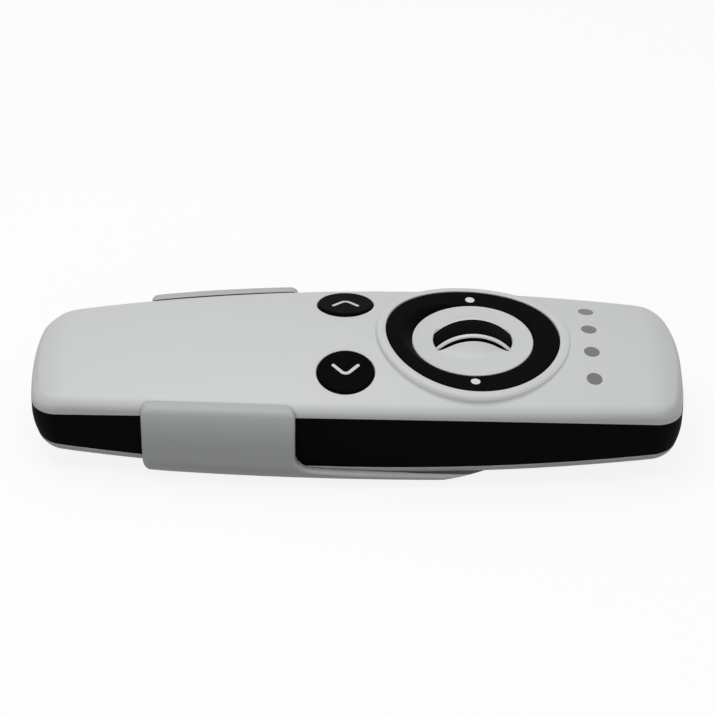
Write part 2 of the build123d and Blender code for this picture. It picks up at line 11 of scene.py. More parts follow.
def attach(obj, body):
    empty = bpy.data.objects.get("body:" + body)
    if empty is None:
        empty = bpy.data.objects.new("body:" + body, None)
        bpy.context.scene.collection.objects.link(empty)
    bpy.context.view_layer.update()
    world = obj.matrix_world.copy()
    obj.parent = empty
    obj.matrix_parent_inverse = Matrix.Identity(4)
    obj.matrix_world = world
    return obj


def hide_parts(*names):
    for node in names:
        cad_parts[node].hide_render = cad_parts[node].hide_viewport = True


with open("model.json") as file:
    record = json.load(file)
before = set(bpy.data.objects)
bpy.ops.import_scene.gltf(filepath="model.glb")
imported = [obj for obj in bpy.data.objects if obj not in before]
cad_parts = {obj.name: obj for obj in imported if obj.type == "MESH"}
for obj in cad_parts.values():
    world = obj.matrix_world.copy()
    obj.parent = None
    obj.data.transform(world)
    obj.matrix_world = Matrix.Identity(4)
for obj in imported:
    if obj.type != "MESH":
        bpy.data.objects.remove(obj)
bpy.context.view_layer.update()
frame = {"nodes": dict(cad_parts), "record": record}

# A wireless remote control lying in its wall holder. Shapes are worked out in
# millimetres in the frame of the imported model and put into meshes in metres.
MM = 0.001


def linear(code):
    """sRGB hex to linear RGBA: c / 12.92 up to 0.04045, else ((c + 0.055) / 1.055) ** 2.4."""
    c = np.array([int(code[i:i + 2], 16) for i in (1, 3, 5)]) / 255
    c = np.where(c <= 0.04045, c / 12.92, ((c + 0.055) / 1.055) ** 2.4)
    return (*c.tolist(), 1.0)


def add_node(tree, kind, settings=None, **inputs):
    """One node with its settings and its inputs: a socket is linked, a value is set. An input has
    its socket's name with _ for a space, or i and its number."""
    node = tree.nodes.new(kind)
    for key, value in (settings or {}).items():
        setattr(node, key, value)
    for key, value in inputs.items():
        numbered = key[0] == "i" and key[1:].isdigit()
        socket = node.inputs[int(key[1:]) if numbered else key.replace("_", " ")]
        if isinstance(value, bpy.types.NodeSocket):
            tree.links.new(value, socket)
        else:
            socket.default_value = value
    return node


def new_material(name, **shader):
    """A material with a Principled shader whose constant sockets are set directly."""
    material = bpy.data.materials.new(name)
    material.use_nodes = True
    tree = material.node_tree
    tree.nodes.clear()
    surface = add_node(tree, "ShaderNodeBsdfPrincipled", **shader)
    add_node(tree, "ShaderNodeOutputMaterial", Surface=surface.outputs["BSDF"])
    return material, tree, surface


# Values that all mouldings share. The slow noise is per metre, so one change of tone takes 45 mm.
plastic_ior = 1.53
tone_noise = 22.0
roughness_swing = 0.04


def moulded_plastic(name, light, dark, grain, roughness, height, gloss=0.5):
    """Moulding with the grain of its tool: noise that is grain mm wide and height mm high in the
    bump and moves the roughness a little, and a very slow change between two near tones."""
    material, tree, surface = new_material(name, IOR=plastic_ior, Specular_IOR_Level=gloss)
    place = add_node(tree, "ShaderNodeTexCoord").outputs["Object"]
    slow = add_node(tree, "ShaderNodeTexNoise", Vector=place, Scale=tone_noise, Detail=2.0, Roughness=0.5)
    fine = add_node(tree, "ShaderNodeTexNoise", Vector=place, Scale=1.0 / (grain * MM), Detail=3.0,
                    Roughness=0.6)
    tone = add_node(tree, "ShaderNodeMix", {"data_type": "RGBA"}, i0=slow.outputs["Fac"],
                    i6=linear(light), i7=linear(dark))
    rough = add_node(tree, "ShaderNodeMapRange", Value=fine.outputs["Fac"],
                     To_Min=roughness - roughness_swing, To_Max=roughness + roughness_swing)
    bump = add_node(tree, "ShaderNodeBump", Strength=1.0, Distance=height * MM, Height=fine.outputs["Fac"])
    tree.links.new(tone.outputs[2], surface.inputs["Base Color"])
    tree.links.new(rough.outputs["Result"], surface.inputs["Roughness"])
    tree.links.new(bump.outputs["Normal"], surface.inputs["Normal"])
    return material


# The grain that a spark-eroded tool leaves is about 0.1 mm wide. It is drawn at 0.3 to 0.6 mm, as
# coarse as it needs to be to show at all.

# White ABS moulded in a finely eroded tool: broad, soft shading with no sharp reflection
white_abs = moulded_plastic("white_abs_fine_grain", "#CCCDCD", "#C8CACA", 0.35, 0.45, 0.004, gloss=0.3)
# Black ABS moulded matt: an even, deep black that keeps its outline and shows next to no highlight
black_abs = moulded_plastic("black_abs_matte", "#020202", "#040404", 0.35, 0.6, 0.004, gloss=0.02)
# Light grey ABS moulded satin: a tone darker than the white, with a soft sheen over the arms' bends
grey_abs = moulded_plastic("grey_abs_satin", "#B2B3B4", "#ADAFB0", 0.35, 0.45, 0.004, gloss=0.3)
# White ABS from a polished tool: the thin flanges of the wheel catch a brighter, narrower light
wheel_white = moulded_plastic("wheel_white_gloss", "#D6D7D7", "#D2D3D3", 0.5, 0.3, 0.002)
# Moulded rubber: dull and black, a little rougher than the plastic beside it
tyre_rubber = moulded_plastic("tyre_rubber", "#030303", "#050505", 0.3, 0.65, 0.01, gloss=0.02)
# Smoked polycarbonate, moulded satin: with its lamp off each window is a flat mid-grey disc
window_grey = moulded_plastic("window_grey", "#747675", "#717372", 0.4, 0.35, 0.002, gloss=0.3)
# White ABS pins let into the ring: small bright dots with a little gloss
dot_white = moulded_plastic("dot_white", "#D8D9D9", "#D4D5D5", 0.4, 0.35, 0.002)
# Pad-printed ink on the keys: pale strokes, duller than the moulded white
arrow_print = moulded_plastic("arrow_print", "#CBCBCB", "#C8C8C8", 0.4, 0.5, 0.002, gloss=0.3)
# Dark ABS that nobody sees in use: plain and dim behind the wheel
inner_plastic = moulded_plastic("inner_plastic", "#3A3A3C", "#363638", 0.4, 0.5, 0.004)
# Solder resist on glass fibre: satin green, slightly uneven
board_green = moulded_plastic("board_green", "#1F5A38", "#1B5033", 0.6, 0.35, 0.006)
# Moulded epoxy of the chips: charcoal, with a dull grain
chip_black = moulded_plastic("chip_black", "#17181A", "#1C1D1F", 0.3, 0.5, 0.004)
# Shrunk film round the cells: smooth pale grey with a clear highlight
cell_wrap = moulded_plastic("cell_wrap", "#B9BCC0", "#AEB1B6", 0.5, 0.3, 0.002)
# Cast epoxy of the lamps, cream while they are off: small sharp highlights
lamp = moulded_plastic("lamp", "#E8E4D8", "#E0DCD0", 0.4, 0.25, 0.002)
# Nickel-plated steel of springs, contacts and screws: bright, with a blurred reflection
steel = new_material("plated_steel", Metallic=1.0, Roughness=0.28, Base_Color=linear("#C9CACB"))[0]

finish_of_slot = {
    "white_abs": white_abs, "black_abs": black_abs, "grey_abs": grey_abs, "wheel_white": wheel_white,
    "tyre_rubber": tyre_rubber, "steel": steel, "inner_plastic": inner_plastic, "window_grey": window_grey,
    "dot_white": dot_white, "lamp": lamp, "board_green": board_green, "chip_black": chip_black,
    "radio_can": steel, "cell_wrap": cell_wrap,
}
for row in frame["record"]["subparts"]:
    solid = frame["nodes"][row["node"]]
    solid.data.materials.clear()
    solid.data.materials.append(finish_of_slot[row["material_slot"]])


# Sizes that the pieces below share, in millimetres.
# Plan of the handset at one level: arcs of the long sides, of the ends and of the corners between them
side_x, side_y, side_r = 12.0, 585.1, 610.0
end_x, end_r, corner_r = 7.5, 85.0, 7.8
# That level, and the lean of the flank, which widens upwards
level, draft = 20.05, math.radians(5.7)
# Bow of the end faces: its level, its radius, where it starts to fade in and how far out it reaches
end_bow_z, end_bow_r, end_bow_from, end_reach = 13.7, 17.0, 66.0, 77.25
# Crown: its circle along X, its bow across, and the tighter circle past 67.5 either way
crown_x, crown_z, crown_r, cross_r = 7.7, 27.1, 725.0, 70.0
nose_r, nose_from = 20.0, 67.5
# Roundings of the upper and the lower edge, and the wall of the mouldings
top_round, belly_round = 3.0, 2.6
skin_wall = 1.2
# Line between white and black, and the belly
parting_x, parting_r = 2.6, 720.0
belly_x, belly_z, belly_r = -5.2, 2.5, 1065.0
# Dial: the saddle over it, the collar with its toe and shoulder, the well with its lip and floor
dial_x = 27.0
saddle_x, saddle_z, saddle_r = 32.7, 25.15, 107.0
collar_r, toe_most, toe_share = 22.9, 0.55, 0.3
shoulder_wide, shoulder_share = 1.5, 0.7
well_r, well_z, well_lip = 20.6, 21.8, 0.2
floor_hole_r, floor_edge_r = 12.9, 22.0
# Rocking ring: radius, underside, bore and rim, how far its top stays under the saddle, and the
# width of its soft crease
ring_r, ring_low, ring_bore, ring_rim = 20.4, 23.0, 14.5, 0.35
ring_below, ring_blend = 0.05, 0.8
# Centre plate, the slot for the wheel and the two cowls beside it
plate_r, plate_z, plate_low, plate_lip = 14.3, 25.3, 23.6, 0.25
slot_r, slot_half = 9.35, 4.4
cowl_r, cowl_slope, cowl_blend = 10.6, 1.074, 1.5
# Wheel: tyre, core and flanges
wheel_z, wheel_r, tyre_half, tyre_round = 17.5, 11.7, 2.95, 0.3
core_bore, core_proud, core_gap = 3.0, 0.2, 0.05
flange_r, flange_half, flange_bore, flange_round = 11.5, 3.75, 10.95, 0.22
# Keys, the gap round them and its lip, and the arrows on them
key_x, key_y, key_r, key_gap, key_lip = -3.0, 13.91, 6.62, 0.2, 0.25
key_rise, key_rounding, key_deep = 0.36, 0.4, 1.6
arrow_x, arrow_y, arrow_bend, arrow_half, arrow_proud = 2.85, 1.42, 1.25, 0.41, 0.04
# Windows, the gap round them and its lip
window_x, window_r, window_gap, window_lip = 54.8, 1.8, 0.03, 0.07
window_spots = (-13.8, -4.6, 4.6, 13.8)
# Arms of the holder: level where the outer face keeps its place, tip and both ends, and how far the
# face lies in at the tip and at the foot
arm_bow_z, arm_tip_z, arm_start, arm_end = 11.5, 22.8, -50.6, -14.5
tip_in, foot_in = 0.95, 0.7
# Shading of that face: how far it leans by the tip, and how far more and how deep the tip rounds
tip_lean, over_lean, over_deep = math.radians(30), math.radians(54), 2.2
# Gap between flank and arm, the arm's wall, and where the bow fades out into the plate
arm_gap, arm_wall, bow_end_x, bow_fade = 0.3, 2.2, -4.0, 10.0
# Rounding of the arms' rear lower corner
heel_high, heel_long, heel_deep, arm_inset = 6.5, 9.0, 2.6, 0.5

under_wall = np.array([0, 0, skin_wall])


def circle_angles(count):
    """Angles of evenly spaced points round a circle."""
    return np.linspace(0, 2 * math.pi, count, endpoint=False)


def quarter(count, start=0):
    """Angles of a quarter round, from start to 90 degrees."""
    return np.radians(np.linspace(start, 90, count))


def eased(t):
    """t from 0 to 1, held outside, with level ends: 3*t*t - 2*t*t*t."""
    t = np.clip(t, 0, 1)
    return t * t * (3 - 2 * t)


def softer(a, b, width):
    """The larger of two heights, with the crease between them rounded over a width (a parabola)."""
    share = np.clip(0.5 + 0.5 * (a - b) / width, 0, 1)
    return b + (a - b) * share + width * share * (1 - share)


def end_shift(x, z):
    """How far a point near either end moves outward: there the end bows by a parabola, with radius
    17 where it reaches furthest, at z = 13.7, instead of keeping the draft of the flank."""
    share = eased((np.abs(x) - end_bow_from) / (end_reach - 1.0 - end_bow_from))
    height = np.clip(z, 4.0, 19.0)
    bowed_end = end_reach - (height - end_bow_z) ** 2 / (2 * end_bow_r)
    drafted_end = end_r - end_x + (height - level) * math.tan(draft)
    return np.sign(x) * share * (bowed_end - drafted_end)


def bow_ends(points, normals=None, step=0.01):
    """Points moved by end_shift, and their normals turned with the surface."""
    x, y, z = points.T
    moved = np.stack([x + end_shift(x, z), y, z], -1)
    if normals is None:
        return moved
    along = 1 + (end_shift(x + step, z) - end_shift(x - step, z)) / (2 * step)
    upward = (end_shift(x, z + step) - end_shift(x, z - step)) / (2 * step)
    nx = normals[:, 0] / along
    leaned = np.stack([nx, normals[:, 1], normals[:, 2] - nx * upward], -1)
    length = np.linalg.norm(leaned, axis=1, keepdims=True)
    return moved, leaned / np.where(length > 0, length, 1)


def shade_smooth(mesh, sharp):
    """Smooth shading, but for edges where the surface turns by more than sharp degrees."""
    mesh.polygons.foreach_set("use_smooth", np.ones(len(mesh.polygons), bool))
    mesh.set_sharp_from_angle(angle=math.radians(sharp))


def put_in_place(mesh, name, body, slot, node, material=None):
    """Makes a mesh the piece that stands for a node and rides on a body, in the finish of its
    slot."""
    mesh.materials.clear()
    mesh.materials.append(material or finish_of_slot[slot])
    thing = bpy.data.objects.new(name, mesh)
    bpy.context.scene.collection.objects.link(thing)
    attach(thing, body)
    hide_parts(node)


class Skin:
    """Patches of points with their faces and normals, welded where they meet and made one mesh."""

    def __init__(self):
        self.points, self.normals, self.faces, self.count = [], [], [], 0

    def add(self, points, normals, faces):
        """Points (n, 3), normals (n, 3) or None where Blender works them out, faces (m, 3 or 4)."""
        points = points.reshape(-1, 3)
        normals = np.zeros_like(points) if normals is None else normals.reshape(-1, 3)
        self.points.append(points)
        self.normals.append(normals)
        self.faces.append(faces + self.count)
        self.count += len(points)

    def rows(self, points, normals=None, flip=False):
        """Quads between neighbouring rows of a grid (rows, columns, 3), round the columns."""
        number = np.arange(points.shape[0] * points.shape[1]).reshape(points.shape[:2])
        beside = np.roll(number, -1, 1)
        quads = np.stack([number[:-1], beside[:-1], beside[1:], number[1:]], -1).reshape(-1, 4)
        self.add(points, normals, quads[:, ::-1] if flip else quads)

    def piece(self, name, body, slot, node, material=None, sharp=40):
        """Bows the ends, welds equal points, drops folded faces and puts the mesh in the node's
        place."""
        points, normals = bow_ends(np.concatenate(self.points), np.concatenate(self.normals))
        _, first, weld = np.unique(np.round(points, 4), axis=0, return_index=True, return_inverse=True)
        weld = weld.ravel()
        faces, corners = [], []

        def take(new, old):
            faces.extend(new.tolist())
            corners.append(old.ravel())

        for group in self.faces:
            new = weld[group]
            same = new == np.roll(new, -1, 1)
            if new.shape[1] == 3:
                whole = ~same.any(1)
            else:
                whole = ~same.any(1) & (new[:, 0] != new[:, 2]) & (new[:, 1] != new[:, 3])
                for side in range(4):
                    part = same[:, side] & (same.sum(1) == 1)
                    keep = [k for k in range(4) if k != side]
                    take(new[part][:, keep], group[part][:, keep])
            take(new[whole], group[whole])
        mesh = bpy.data.meshes.new(name)
        mesh.from_pydata((points[first] * MM).tolist(), [], faces)
        shade_smooth(mesh, sharp)
        chosen = normals[np.concatenate(corners)]
        if chosen.any():
            mesh.normals_split_custom_set(chosen.tolist())
        put_in_place(mesh, name, body, slot, node, material)


def unit(v):
    return v / np.linalg.norm(v, axis=-1, keepdims=True)


def circles_meet(c0, r0, c1, r1, side):
    """The point at r0 from c0 and r1 from c1, on one side of the line between the centres."""
    d = np.subtract(c1, c0)
    s = math.hypot(*d)
    along = (s * s + r0 * r0 - r1 * r1) / (2 * s)
    across = side * math.sqrt(r0 * r0 - along * along)
    return np.array(c0) + (along * d + across * np.array([-d[1], d[0]])) / s


def outline_arcs():
    """Start angle, centre and radius of the eight arcs of the handset's plan, counter-clockwise."""
    front, back = (circles_meet((-s * end_x, 0), end_r - corner_r, (side_x, -side_y), side_r - corner_r, s)
                   for s in (1, -1))
    a1 = math.atan2(front[1], front[0] + end_x)
    a2 = math.atan2(front[1] + side_y, front[0] - side_x)
    a3 = math.atan2(back[1] + side_y, back[0] - side_x)
    a4 = math.atan2(back[1], back[0] - end_x)
    starts = np.array([-a1, a1, a2, a3, a4, 2 * math.pi - a4, 2 * math.pi - a3, 2 * math.pi - a2])
    mirror = np.array([1, -1])
    centres = np.array([(-end_x, 0), front, (side_x, -side_y), back, (end_x, 0),
                        back * mirror, (side_x, side_y), front * mirror])
    radii = np.array([end_r, corner_r, side_r, corner_r] * 2)
    return starts, centres, radii


arc_start, arc_centre, arc_radius = outline_arcs()


def outline_angles(step=0.8, turn=3.0):
    """Normal angles round the plan, at most step millimetres and turn degrees apart."""
    ends = np.append(arc_start[1:], arc_start[0] + 2 * math.pi)
    arcs = []
    for start, end, radius in zip(arc_start, ends, arc_radius):
        count = math.ceil(max(radius * (end - start) / step, math.degrees(end - start) / turn))
        arcs.append(np.linspace(start, end, count, endpoint=False))
    return np.concatenate(arcs)


def arc_of(angle):
    """Centre and radius of the plan's arc whose normal points along each angle."""
    wrapped = (angle - arc_start[0]) % (2 * math.pi) + arc_start[0]
    index = np.searchsorted(arc_start, wrapped, side="right") - 1
    return arc_centre[index], arc_radius[index]


def crown_height(x, y, inset=0.0):
    """Height of the crown: in X a circle of radius 725 - y*y/140, and past x = 67.5 either way one
    of radius 20 - y*y/140. An inset makes both circles smaller."""
    bow = y * y / (2 * cross_r)
    reach = crown_r - bow - inset
    z = crown_z - crown_r + np.sqrt(reach ** 2 - (x - crown_x) ** 2)
    for sign in (-1, 1):
        lean = (nose_from - sign * crown_x) / crown_r
        cx = crown_x + sign * (crown_r - nose_r) * lean
        cz = crown_z - crown_r + (crown_r - nose_r) * math.sqrt(1 - lean * lean)
        past = (x - crown_x) * sign > reach * lean
        tip = cz + np.sqrt(np.maximum((nose_r - bow - inset) ** 2 - (x - cx) ** 2, 0))
        z = np.where(past, tip, z)
    return z


def height_normal(height, x, y, step=0.02):
    """Unit normal of a height function, from its slopes along X and Y."""
    dx = (height(x + step, y) - height(x - step, y)) / (2 * step)
    dy = (height(x, y + step) - height(x, y - step)) / (2 * step)
    return unit(np.stack([-dx, -dy, np.ones_like(dx)], -1))


class Section:
    """Cross-section of the handset square to its plan at each normal angle: the rolling ball of the
    upper edge, the drafted flank, and the rolling ball of the lower edge. Each loop below closes in
    on the ball's place, or on the direction in which it touches the crown."""

    def __init__(self, angle):
        centre, radius = arc_of(angle)
        self.out = np.stack([np.cos(angle), np.sin(angle)], -1)
        down = np.full((len(angle), 1), -math.sin(draft))
        self.flank = np.concatenate([self.out * math.cos(draft), down], -1)
        z = np.full(len(angle), level)
        for _ in range(14):
            depth = top_round / math.cos(draft) - (z - level) * math.tan(draft)
            at = centre + (radius - depth)[:, None] * self.out
            z = crown_height(at[:, 0], at[:, 1], top_round * np.sqrt(1 + (at[:, 1] / cross_r) ** 2))
        self.top = np.column_stack([at, z])
        self.top_depth = depth
        self.crown = height_normal(crown_height, at[:, 0], at[:, 1])
        for _ in range(4):
            touch = self.top + top_round * self.crown
            self.crown = height_normal(crown_height, touch[:, 0], touch[:, 1])
        touch = self.top + top_round * self.crown
        self.slip = crown_height(touch[:, 0], touch[:, 1]) - touch[:, 2]
        for _ in range(8):
            depth = belly_round / math.cos(draft) - (z - level) * math.tan(draft)
            at = centre + (radius - depth)[:, None] * self.out
            z = grey_line(at[:, 0])
        self.low = np.column_stack([at, z])
        self.belly = unit(np.column_stack([at[:, 0] - belly_x, np.zeros(len(at)), z - belly_z - belly_r]))

    def at(self, s):
        """Points and normals at s: 0 to 1 round the upper edge, 1 to 2 down the flank, 2 to 3 round
        the lower edge. Each rounding's normal turns evenly from one face's to the next."""
        s = np.broadcast_to(s, (len(self.out),))[:, None]

        def turn(start, end, t):
            angle = np.arccos(np.clip((start * end).sum(1), -1, 1))[:, None]
            return (np.sin((1 - t) * angle) * start + np.sin(t * angle) * end) / np.sin(angle)

        upper = turn(self.crown, self.flank, np.clip(s, 0, 1))
        lower = turn(self.flank, self.belly, np.clip(s - 2, 0, 1))
        side = np.clip(s - 1, 0, 1)
        normal = np.where(s < 1, upper, np.where(s > 2, lower, self.flank))
        round_top = self.top + top_round * upper
        round_top[:, 2] += self.slip * (1 - np.clip(s[:, 0], 0, 1))
        flank_top, flank_low = self.top + top_round * self.flank, self.low + belly_round * self.flank
        flank = (1 - side) * flank_top + side * flank_low
        point = np.where(s < 1, round_top, np.where(s > 2, self.low + belly_round * lower, flank))
        return point, normal

    def where(self, line):
        """The s at which the section crosses a line z = line(x), by halving."""
        low, high = np.zeros(len(self.out)), np.full(len(self.out), 3.0)
        for _ in range(40):
            middle = (low + high) / 2
            point = self.at(middle)[0]
            above = point[:, 2] > line(point[:, 0])
            low, high = np.where(above, middle, low), np.where(above, high, middle)
        return (low + high) / 2

    def strip(self, start, stop, count):
        """Grids of points and normals between two values of s."""
        grid = [self.at(start + (stop - start) * t) for t in np.linspace(0, 1, count)]
        return (np.stack(g) for g in zip(*grid))


def parting_line(x):
    """Level where white meets black: a circle of radius 720."""
    return level - parting_r + np.sqrt(parting_r ** 2 - (x - parting_x) ** 2)


def grey_line(x):
    """Level where black meets grey: the belly's circle, 2.6 further in."""
    return belly_z + belly_r - np.sqrt((belly_r - belly_round) ** 2 - (x - belly_x) ** 2)


def top_height(x, y):
    """Height of the upper surface: the crown, and near the long sides, up to x = 60, the upper
    edge's ball."""
    z = crown_height(x, y)
    sign = np.where(y >= 0, 1.0, -1.0)
    angle = np.arctan2(y + sign * side_y, x - side_x)
    depth = side_r - np.hypot(x - side_x, y + sign * side_y)
    shape = np.shape(z)
    ball = Section(np.ravel(angle))
    middle = ball.top_depth.reshape(shape)
    reach = (ball.crown[:, :2] * ball.out).sum(1).reshape(shape)
    over = np.sqrt(np.maximum(top_round ** 2 - (middle - depth) ** 2, 0))
    rounded = ball.top[:, 2].reshape(shape) + over
    return np.where((depth < middle - top_round * reach) & (np.abs(x) < 60), rounded, z)


def saddle(x):
    """Top of the collar and the ring: a circle of radius 107 in X, hollow side up."""
    return saddle_z + saddle_r - np.sqrt(saddle_r ** 2 - (x - saddle_x) ** 2)


def inside(loop, points):
    """True for each point inside a closed loop, by counting the edges that a ray along X
    crosses."""
    a, b = loop, np.roll(loop, -1, 0)
    x, y = points[:, :1], points[:, 1:]
    spans = (a[:, 1] > y) != (b[:, 1] > y)
    with np.errstate(divide="ignore", invalid="ignore"):
        cross = a[:, 0] + (y - a[:, 1]) * (b[:, 0] - a[:, 0]) / (b[:, 1] - a[:, 1])
    return (spans & (x < cross)).sum(1) % 2 == 1


def far_from(loop, points, gap):
    """True for each point that is more than gap from every point of a loop."""
    d = np.hypot(points[:, :1] - loop[:, 0], points[:, 1:] - loop[:, 1])
    return d.min(1) > gap


def fill(rim, holes, extra, spacing, gap):
    """Triangles of the flat region inside rim and outside the holes, over the loops' points, extra
    points and a grid of equal triangles. The grid keeps gap from the rim, a share of it from the
    holes, and the same share of its spacing from the extra points. Returns the plan points (loops
    first, in order) and the triangles, counter-clockwise."""
    share = 0.6
    low, high = rim.min(0), rim.max(0)
    rows = np.arange(low[1], high[1], spacing * math.sqrt(3) / 2)
    columns = np.arange(low[0], high[0], spacing)
    grid = np.stack(np.meshgrid(columns, rows), -1)
    grid[1::2, :, 0] += spacing / 2
    inner = grid.reshape(-1, 2)
    inner = inner[inside(rim, inner) & far_from(rim, inner, gap)]
    if len(extra):
        inner = inner[far_from(extra, inner, share * spacing)]
        inner = np.concatenate([extra, inner])
    for hole in holes:
        inner = inner[~inside(hole, inner) & far_from(hole, inner, share * gap)]
    edges, start = [], 0
    for loop in (rim, *holes):
        n = len(loop)
        edges += [(start + i, start + (i + 1) % n) for i in range(n)]
        start += n
    points = np.concatenate([rim, *holes, inner])
    flat = [Vector(p) for p in points.tolist()]
    _, _, faces, origin, _, _ = delaunay_2d_cdt(flat, edges, [], 0, 1e-7)
    source = np.array([o[0] for o in origin])
    triangles = source[np.array(faces)]
    middle = points[triangles].mean(1)
    keep = inside(rim, middle)
    for hole in holes:
        keep &= ~inside(hole, middle)
    triangles = triangles[keep]
    p = points[triangles]
    clockwise = np.cross(p[:, 1] - p[:, 0], p[:, 2] - p[:, 0]) < 0
    triangles[clockwise] = triangles[clockwise][:, ::-1]
    return points, triangles


def same_spot(points, others):
    """For each plan point the number of the other point at the same spot, or -1."""
    _, number = np.unique(np.round(np.concatenate([others, points]), 6), axis=0, return_inverse=True)
    number = number.ravel()
    found = np.full(number.max() + 1, -1)
    found[number[:len(others)]] = np.arange(len(others))
    return found[number[len(others):]]


def key_axes(side):
    """Centre on the crown and unit axes of a key: along X, across, and square to the crown."""
    tilt = math.asin(key_y / cross_r)
    centre = np.array([key_x, side * key_y, float(crown_height(np.array(key_x), np.array(key_y)))])
    normal = np.array([0, side * math.sin(tilt), math.cos(tilt)])
    return centre, np.array([1.0, 0, 0]), np.cross(normal, [1.0, 0, 0]), normal


def window_axes(y):
    """Centre on the crown and unit axes of a window: along X, along Y and up."""
    centre = np.array([window_x, y, float(top_height(np.array(window_x), np.array(y)))])
    return centre, *np.eye(3)


def on_crown(centre, along, across, axis, u, v):
    """Point of the crown reached from centre + u*along + v*across by going along axis, by Newton
    steps."""
    base = centre + u[..., None] * along + v[..., None] * across
    t = np.zeros_like(u)
    for _ in range(5):
        p = base + t[..., None] * axis
        t -= (p[..., 2] - top_height(p[..., 0], p[..., 1])) / axis[2]
    return base + t[..., None] * axis


def first_row_normals(rows, height):
    """Normals of a height function for the first of some rows, and none for the others."""
    normals = np.zeros_like(rows)
    normals[0] = height_normal(height, rows[0][:, 0], rows[0][:, 1])
    return normals


def hole_rows(skin, axes, radius, lip, count):
    """A round hole's quarter-round lip and wall, square to its axis. Returns the loop where the lip
    meets the crown."""
    axis, turn = axes[3], circle_angles(count)
    rows = []
    for t in quarter(6):
        r = radius + lip * (1 - math.sin(t))
        meets = on_crown(*axes, r * np.cos(turn), r * np.sin(turn))
        rows.append(meets - lip * (1 - math.cos(t)) * axis)
    rows.append(rows[-1] - (skin_wall - lip) * axis)
    rows.append(rows[0] - under_wall)
    rows = np.stack(rows)
    skin.rows(rows, first_row_normals(rows, top_height))
    return rows[0]


def collar_rows(skin):
    """Collar and well in rows from outside in: a hollow quarter round out of the crown (the toe), a
    quarter ellipse up to the saddle (the shoulder), the saddle, a quarter-round lip, the well's
    wall and floor, and the underside. Returns the loop where the toe meets the crown."""
    turn = circle_angles(360)

    def ring_at(r, z):
        return np.stack([dial_x + r * np.cos(turn), r * np.sin(turn), z + 0 * turn], -1)

    def crown_at(r):
        return top_height(dial_x + r * np.cos(turn), r * np.sin(turn))

    def saddle_at(r):
        return saddle(dial_x + r * np.cos(turn))

    rise = saddle_at(collar_r) - crown_at(collar_r)
    toe = np.minimum(toe_most, toe_share * rise)
    rounding = shoulder_share * rise
    rows = []
    for t in quarter(8):
        r = collar_r + toe * (1 - math.sin(t))
        rows.append(ring_at(r, crown_at(r) + toe * (1 - math.cos(t))))
    for t in quarter(10):
        r = collar_r - shoulder_wide * (1 - math.cos(t))
        rows.append(ring_at(r, saddle_at(r) - rounding * (1 - math.sin(t))))
    for share in (0.5, 1.0):
        r = (collar_r - shoulder_wide) * (1 - share) + (well_r + well_lip) * share
        rows.append(ring_at(r, saddle_at(r)))
    for t in quarter(6, 15):
        r = well_r + well_lip * (1 - math.sin(t))
        rows.append(ring_at(r, saddle_at(r) - well_lip * (1 - math.cos(t))))
    rows += [ring_at(well_r, well_z), ring_at(floor_hole_r, well_z)]
    rows += [rows[-1] - under_wall, ring_at(floor_edge_r, well_z) - under_wall, rows[0] - under_wall]
    rows = np.stack(rows)
    skin.rows(rows, first_row_normals(rows, top_height))
    return rows[0]


def make_top_shell():
    """White moulding: crown, rounded edge, flank, collar with its toe, well, and the holes of keys
    and windows. The deck is a flat filling lifted to top_height, with three rows of the rounded
    edge let into it. The skin reaches from rim_s, part of the way round the edge, down to the
    parting line."""
    skin = Skin()
    section = Section(outline_angles())
    rim_s = 0.45
    part = np.maximum(section.where(parting_line), rim_s + 0.02)
    points, normals = section.strip(rim_s, part, 11)
    skin.rows(points, normals, flip=True)
    rim, foot = points[0], points[-1]
    inner = foot.copy()
    inner[:, :2] -= skin_wall * section.out
    skin.rows(np.stack([foot, inner, rim - under_wall]), flip=True)

    loops = [collar_rows(skin)]
    loops += [hole_rows(skin, key_axes(side), key_r + key_gap, key_lip, 144) for side in (-1, 1)]
    loops += [hole_rows(skin, window_axes(y), window_r + window_gap, window_lip, 64) for y in window_spots]

    edge = [section.at(s) for s in (0.0, 0.15, 0.3)]
    edge_points, edge_normals = (np.concatenate(e) for e in zip(*edge))
    holes = [loop[:, :2] for loop in loops]
    plan, triangles = fill(rim[:, :2], holes, edge_points[:, :2], spacing=1.3, gap=0.35)
    deck = np.column_stack([plan, top_height(plan[:, 0], plan[:, 1])])
    deck_normals = height_normal(top_height, plan[:, 0], plan[:, 1])
    given = np.concatenate([rim, *loops])
    deck[:len(given)] = given
    deck_normals[:len(rim)] = normals[0]
    match = same_spot(plan, edge_points[:, :2])
    known = match >= 0
    deck[known] = edge_points[match[known]]
    deck_normals[known] = edge_normals[match[known]]
    skin.add(deck, deck_normals, triangles)
    skin.add(deck - under_wall, None, triangles[:, ::-1])
    skin.piece("upper_shell", "handset", "white_abs", "top_shell")


def make_band():
    """Black frame: the flank between the two lines, closed inside."""
    skin = Skin()
    section = Section(outline_angles())
    points, normals = section.strip(section.where(parting_line), section.where(grey_line), 17)
    skin.rows(points, normals, flip=True)
    inner_low, inner_top = points[-1].copy(), points[0].copy()
    for row in (inner_low, inner_top):
        row[:, :2] -= skin_wall * section.out
    skin.rows(np.stack([points[-1], inner_low, inner_top, points[0]]), flip=True)
    skin.piece("middle_band", "handset", "black_abs", "mid_band")


def turned(profile):
    """Rows of a profile of (y, r) pairs turned about the wheel's axis: x = 27 + r*cos, z = 17.5 +
    r*sin."""
    turn = circle_angles(160)
    y, r = np.array(profile, float).T
    x = dial_x + r[:, None] * np.cos(turn)
    z = wheel_z + r[:, None] * np.sin(turn)
    return np.stack([x, np.broadcast_to(y[:, None], x.shape), z], -1)


